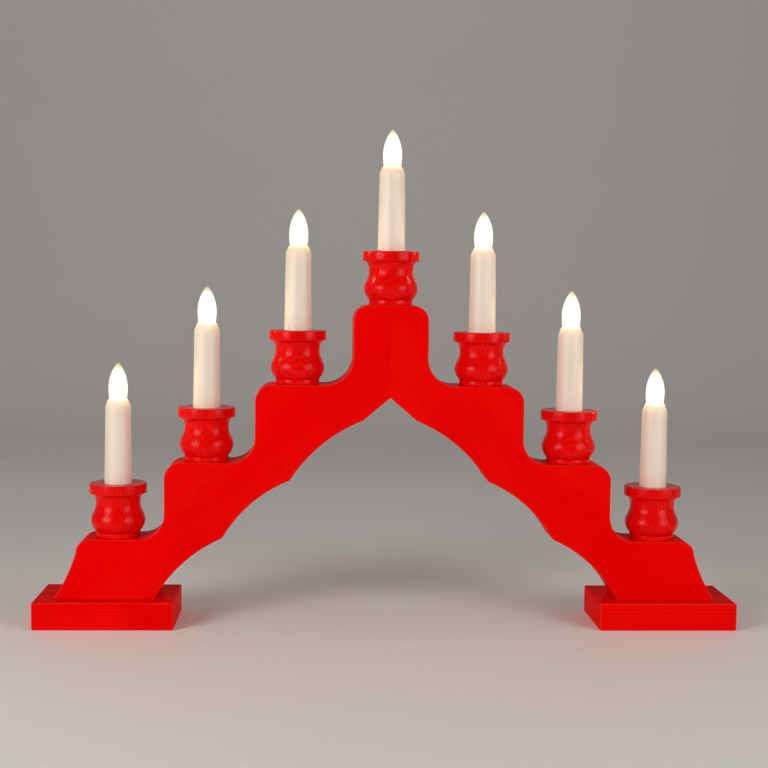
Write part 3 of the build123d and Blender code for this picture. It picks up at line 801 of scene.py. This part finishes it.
class ARCH_OT_sleeves(bpy.types.Operator):
    """Mould the seven candle sleeves"""

    bl_idname = "arch.sleeves"
    bl_label = "Mould sleeves"

    def execute(self, context):
        plastic = sleeve_plastic()
        for number in CANDLES:
            name = f"candle_sleeve_{number}"
            centre, _ = middle(name)
            sleeve = turned_piece(f"moulded_sleeve_{number}", self.outline(context, name), centre, around=80)
            give(sleeve, plastic)
            stand(sleeve, "arch", name)
        return {"FINISHED"}

    def outline(self, context, name):
        """Radius and height over the sleeve's lower end, up the outside and down the inside."""
        sizes = context.scene.arch_sleeve
        lamp = context.scene.arch_lamp
        low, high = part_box(name)
        foot = (high.x - low.x) / 2
        top = high.z - low.z
        rim = context.scene.arch_cup.seat_depth
        shoulder = top - sizes.cone_height
        web = top - sizes.web_drop
        bore = lamp.cap_radius + lamp.clearance + sizes.shell_clearance
        mouth = sizes.mouth_radius - sizes.lip
        shelf = top - sizes.lip_depth
        web_base = web - sizes.web_thickness
        outside = softened(
            [
                (foot - sizes.wall, sizes.foot_rise),
                (foot, 0),
                (foot, rim),
                (sizes.shoulder_radius, shoulder),
                (sizes.mouth_radius, top),
                (mouth, top),
                (mouth, shelf),
            ],
            sizes.rounding,
            steps=4,
        )
        inside = [
            (bore, shelf),
            (bore, web),
            (sizes.rivet_hole, web),
            (sizes.rivet_hole, web_base),
            (sizes.shoulder_radius - sizes.wall, web_base),
            (foot - sizes.wall, rim),
        ]
        return outside + inside


class ARCH_OT_lamps(bpy.types.Operator):
    """Make the seven lit lamps: glass, threaded cap and contact button"""

    bl_idname = "arch.lamps"
    bl_label = "Make lamps"

    def execute(self, context):
        lamp = context.scene.arch_lamp
        glass = lit_glass()
        cap_brass = metal("Cap Brass", (0.80, 0.62, 0.32), (0.55, 0.42, 0.24), 0.30)
        bead = metal("Cap Bead", (0.03, 0.028, 0.026), (0.06, 0.05, 0.045), 0.35, metallic=0.0)
        solder = metal("Tip Solder", (0.62, 0.62, 0.60), (0.42, 0.42, 0.41), 0.38)
        tungsten = metal("Filament Wire", (0.45, 0.42, 0.38), (0.30, 0.28, 0.25), 0.4)
        for number in CANDLES:
            centre, top = middle(f"bulb_glass_{number}")
            bulb = turned_piece(f"flame_glass_{number}", self.glass(lamp, top - centre.z), centre, around=72)
            give(bulb, glass)
            stand(bulb, f"lamp_{number}", f"bulb_glass_{number}")

            centre, top = middle(f"bulb_cap_{number}")
            cone = lamp.floor_height
            thread = grown(
                f"cap_thread_{number}", rolled_thread, centre + Vector((0, 0, cone)),
                crest_radius=lamp.cap_radius, thread_depth=lamp.thread_depth, pitch=lamp.pitch,
                length=top - centre.z - cone, sheet=lamp.sheet, plain_foot=1.1 * MM, plain_top=1.6 * MM,
                foot_draw=1.0, material=cap_brass,
            )
            floor = turned_piece(f"cap_floor_{number}", self.cap_floor(lamp), centre, around=72)
            give(floor, cap_brass)
            cap = joined(f"threaded_cap_{number}", [thread, floor])
            stand(cap, f"lamp_{number}", f"bulb_cap_{number}")

            centre, top = middle(f"bulb_tip_{number}")
            outline, button_steps = self.tip(lamp, top - centre.z)
            slots = [1 if step < button_steps else 0 for step in range(len(outline) - 1)]
            tip = turned_piece(f"contact_tip_{number}", outline, centre, around=40, slots=slots)
            give(tip, bead, solder)
            stand(tip, f"lamp_{number}_lift", f"bulb_tip_{number}")

            give(NODES[f"bulb_filament_{number}"], tungsten)
        return {"FINISHED"}

    def glass(self, lamp, tall):
        """The flame's outline from its point down the outside, round the skirt and up the inside."""
        drop = lamp.waist_height
        inner_point_share = 0.7
        outline = []
        for inset in (0.0, lamp.glass_wall):
            skirt = lamp.skirt_radius - inset
            waist = Vector((lamp.waist_radius - inset, drop))
            belly = Vector((lamp.belly_radius - inset, drop + lamp.belly_rise))
            tip = lamp.point_radius - inset * inner_point_share
            rise = tall - inset - tip - belly.y
            curve = (rise**2 + belly.x**2 - tip**2) / (2 * (belly.x - tip))
            lean = atan2(rise, curve - belly.x)
            low_curve = (belly - waist).length_squared / (2 * (belly.x - waist.x))
            low_turn = 2 * atan2(belly.x - waist.x, belly.y - waist.y)
            side = [(skirt, 0.0), (skirt, drop - lamp.waist_flare)]
            side += arc((belly.x - low_curve, belly.y), low_curve, -low_turn, 0, 8)
            side += arc((belly.x - curve, belly.y), curve, 0, lean, 18)[1:]
            side += arc((0, tall - inset - tip), tip, lean, pi / 2, 7)[1:]
            side[-1] = (0, side[-1][1])
            outline.append(side)
        return outline[0][::-1] + outline[1]

    def cap_floor(self, lamp):
        """The coned floor under the thread, which holds the bead."""
        cone = lamp.floor_height
        edge = lamp.cap_radius - lamp.thread_depth
        return softened(
            [
                (lamp.floor_hole, 0.0),
                (edge, cone),
                (edge, cone + lamp.floor_edge),
                (edge - lamp.sheet, cone + lamp.floor_edge),
                (lamp.floor_hole, lamp.floor_wall),
            ],
            0.15 * MM,
        )

    def tip(self, lamp, tall):
        """The button under its bead, from the button's lowest point up, and how many steps are button."""
        button = lamp.button_radius
        rounding = lamp.button_rounding
        base = tall - lamp.bead_height
        flare = 0.2 * MM
        round_edge = arc((button - rounding, rounding), rounding, -pi / 2, 0, 4)
        outline = [(0, 0)] + round_edge + [(button, base - flare / 2), (button + flare, base)]
        button_steps = len(round_edge) + 1
        bead = [(button + flare, base), (lamp.bead_radius, base), (lamp.bead_radius, tall), (0, tall)]
        return outline + softened(bead, 0.25 * MM)[1:], button_steps


class ARCH_OT_lampholders(bpy.types.Operator):
    """Make the threaded shells and finish the centre contacts"""

    bl_idname = "arch.lampholders"
    bl_label = "Make lampholders"

    def execute(self, context):
        lamp = context.scene.arch_lamp
        brass = metal("Contact Brass", (0.78, 0.55, 0.24), (0.50, 0.36, 0.18), 0.33)
        for number in CANDLES:
            name = f"lamp_shell_{number}"
            centre, top = middle(name)
            tab = lamp.tab_length
            centre = Vector((middle(f"candle_sleeve_{number}")[0].x, 0, centre.z + tab))
            cap_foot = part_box(f"bulb_cap_{number}")[0].z + lamp.floor_height
            lag = (cap_foot - centre.z) % lamp.pitch
            crest = lamp.cap_radius + lamp.clearance + lamp.sheet
            thread = grown(
                f"shell_thread_{number}", rolled_thread, centre + Vector((0, 0, lag)),
                crest_radius=crest, thread_depth=lamp.thread_depth, pitch=lamp.pitch,
                length=top - centre.z - lag, sheet=lamp.sheet, plain_foot=0.9 * MM, plain_top=1.2 * MM,
                foot_draw=0.0, material=brass,
            )
            strip = self.tab(lamp, crest, centre, tab + lag + lamp.tab_overlap, lag)
            give(strip, brass)
            shell = joined(f"threaded_shell_{number}", [thread, strip])
            stand(shell, "arch", name)
        give(NODES["centre_contacts"], brass)
        return {"FINISHED"}

    def tab(self, lamp, crest, centre, length, lag):
        """The solder tab: a rounded strip that runs down from the shell's left side."""
        shape = bmesh.new()
        half = lamp.tab_width / 2
        outline = [(-half, lag), (-half, lag - length + half)]
        outline += arc((0, lag - length + half), half, pi, tau, 8)[1:-1]
        outline += [(half, lag - length + half), (half, lag)]
        sides = (-crest, -crest + lamp.sheet)
        front, back = ([shape.verts.new((x, y, z)) for y, z in outline] for x in sides)
        shape.faces.new(front)
        shape.faces.new(back[::-1])
        for i in range(len(outline)):
            k = (i + 1) % len(outline)
            shape.faces.new((front[i], back[i], back[k], front[k]))
        bmesh.ops.recalc_face_normals(shape, faces=shape.faces)
        bmesh.ops.translate(shape, verts=shape.verts, vec=centre)
        return finished("tab", shape)


class ARCH_OT_fasteners(bpy.types.Operator):
    """Finish the screws, staples and dowels"""

    bl_idname = "arch.fasteners"
    bl_label = "Finish fasteners"

    def execute(self, context):
        give(NODES["foot_screws"], metal("Screw Zinc", (0.70, 0.66, 0.52), (0.50, 0.48, 0.42), 0.34))
        give(NODES["wire_staples"], metal("Staple Wire", (0.66, 0.66, 0.65), (0.45, 0.45, 0.45), 0.36))
        give(NODES["mitre_dowels"], bare_beech())
        return {"FINISHED"}


class ARCH_OT_wiring(bpy.types.Operator):
    """Finish the wires in the groove at the back"""

    bl_idname = "arch.wiring"
    bl_label = "Finish wiring"

    def execute(self, context):
        sheath = wire_sheath()
        for name in ("link_wires", "return_wire"):
            give(NODES[name], sheath)
        return {"FINISHED"}


class ARCH_OT_stage(bpy.types.Operator):
    """Set the plain studio: floor, backdrop, soft lamps and the camera"""

    bl_idname = "arch.stage"
    bl_label = "Set stage"

    def execute(self, context):
        self.sweep(context)
        self.lamps(context)
        self.camera(context)
        context.scene.view_settings.view_transform = "Standard"
        return {"FINISHED"}

    def sweep(self, context):
        """One sheet that is the floor in front and curves up into the backdrop."""
        made, tree, shader = new_material("Studio Sweep", Roughness=0.55, Specular_IOR_Level=0.25)
        stage = context.scene.arch_stage
        mottle = shared(tree, surface_marks, vector=object_place(tree), cloud_size=0.4, speck_size=0.002)
        shade = tuple(value * 0.97 for value in stage.floor)
        tree.links.new(
            blend_colours(tree, mottle["Clouds"], tuple(stage.floor), shade), shader.inputs["Base Color"]
        )
        shape = bmesh.new()
        side = [(-3.0, 0.0), (0.9, 0.0)] + arc((0.9, 1.0), 1.0, -pi / 2, 0, 24)[1:] + [(1.9, 4.0)]
        rows = [[shape.verts.new((x, y, z)) for x in (-5.0, 5.0)] for y, z in side]
        for low, high in zip(rows, rows[1:]):
            shape.faces.new((low[0], low[1], high[1], high[0])).smooth = True
        sweep = finished("studio_sweep", shape)
        give(sweep, made)

    def lamps(self, context):
        stage = context.scene.arch_stage
        aim = Vector((0, 0, 0.15))
        plan = [
            ("key_lamp", (-0.82, -0.68, 0.38), 0.60, stage.key_power),
            ("fill_lamp", (0.80, -0.72, 0.36), 0.70, stage.fill_power),
            ("top_lamp", (-0.10, -0.15, 1.50), 0.70, stage.top_power),
        ]
        for name, place, size, power in plan:
            light = bpy.data.lights.new(name, "AREA")
            light.shape = "DISK"
            light.size = size
            light.energy = power
            lamp = bpy.data.objects.new(name, light)
            lamp.location = place
            lamp.visible_camera = False
            lamp.rotation_euler = (aim - Vector(place)).to_track_quat("-Z", "Y").to_euler()
            context.scene.collection.objects.link(lamp)
        world = bpy.data.worlds.new("Studio Room")
        context.scene.world = world
        world.use_nodes = True
        sky = world.node_tree.nodes["Background"]
        sky.inputs["Color"].default_value = (1.0, 0.98, 0.95, 1.0)
        sky.inputs["Strength"].default_value = stage.daylight

    def camera(self, context):
        """The photograph's own viewpoint."""
        yaw, pitch, roll = radians(-2.84), radians(4.45), radians(0.78)
        forward = Vector((-sin(yaw) * cos(pitch), cos(yaw) * cos(pitch), -sin(pitch)))
        level = Vector((cos(yaw), sin(yaw), 0))
        upright = level.cross(forward)
        right = level * cos(roll) + upright * sin(roll)
        up = upright * cos(roll) - level * sin(roll)
        lens = bpy.data.cameras.new("Photo Camera")
        lens.sensor_width = 36.0
        lens.lens = 1323.65 / 768 * lens.sensor_width
        lens.clip_start = 0.05
        camera = bpy.data.objects.new("Photo Camera", lens)
        turn = Matrix((right, up, -forward)).transposed().to_4x4()
        camera.matrix_world = Matrix.Translation((-0.04188, -0.77947, 0.20290)) @ turn
        context.scene.collection.objects.link(camera)
        context.scene.camera = camera


class ARCH_PT_panel(bpy.types.Panel):
    """The pieces of the candle arch and their sizes"""

    bl_idname = "ARCH_PT_panel"
    bl_label = "Candle Arch"
    bl_space_type = "VIEW_3D"
    bl_region_type = "UI"
    bl_category = "Candle Arch"

    def draw(self, context):
        for maker in OPERATORS:
            self.layout.operator(maker.bl_idname)
        for place in SETTINGS:
            box = self.layout.box()
            settings = getattr(context.scene, place)
            for name in settings.bl_rna.properties.keys():
                if name not in ("rna_type", "name"):
                    box.prop(settings, name)


SETTINGS = {
    "arch_paint": PaintProperties,
    "arch_cup": CupProperties,
    "arch_sleeve": SleeveProperties,
    "arch_lamp": LampProperties,
    "arch_stage": StageProperties,
}
OPERATORS = (
    ARCH_OT_boards,
    ARCH_OT_feet,
    ARCH_OT_cups,
    ARCH_OT_sleeves,
    ARCH_OT_lamps,
    ARCH_OT_lampholders,
    ARCH_OT_fasteners,
    ARCH_OT_wiring,
    ARCH_OT_stage,
)


def register():
    for kind in (*SETTINGS.values(), *OPERATORS, ARCH_PT_panel):
        bpy.utils.register_class(kind)
    for place, kind in SETTINGS.items():
        setattr(bpy.types.Scene, place, PointerProperty(type=kind))


def unregister():
    for place in SETTINGS:
        delattr(bpy.types.Scene, place)
    for kind in (ARCH_PT_panel, *reversed(OPERATORS), *SETTINGS.values()):
        bpy.utils.unregister_class(kind)


def main():
    register()
    for maker in OPERATORS:
        group, action = maker.bl_idname.split(".")
        getattr(getattr(bpy.ops, group), action)()


if __name__ == "__main__":
    main()
